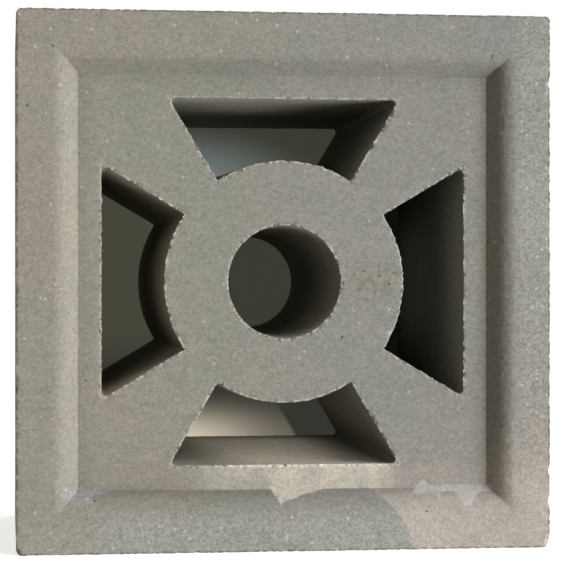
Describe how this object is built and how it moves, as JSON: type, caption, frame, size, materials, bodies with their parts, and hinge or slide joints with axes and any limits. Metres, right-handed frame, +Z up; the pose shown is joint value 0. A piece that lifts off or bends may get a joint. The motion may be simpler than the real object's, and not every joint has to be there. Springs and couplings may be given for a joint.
{
  "type": "decorative screen block",
  "caption": "Square concrete screen block with a raised rim, a moulded recess and a pierced ring held by diagonal struts, for airy garden, porch and facade walls.",
  "frame": {"origin": "middle of the bed face, on which the block stands", "axes": "+X along the wall, +Y into the wall from the decorated face to the back, +Z up"},
  "size_m": [0.2, 0.115, 0.2],
  "materials": {
    "concrete": "as cast, sandy and matt, with pale stains"
  },
  "bodies": {
    "root": {"screen_block": "concrete"}
  },
  "joints": []
}
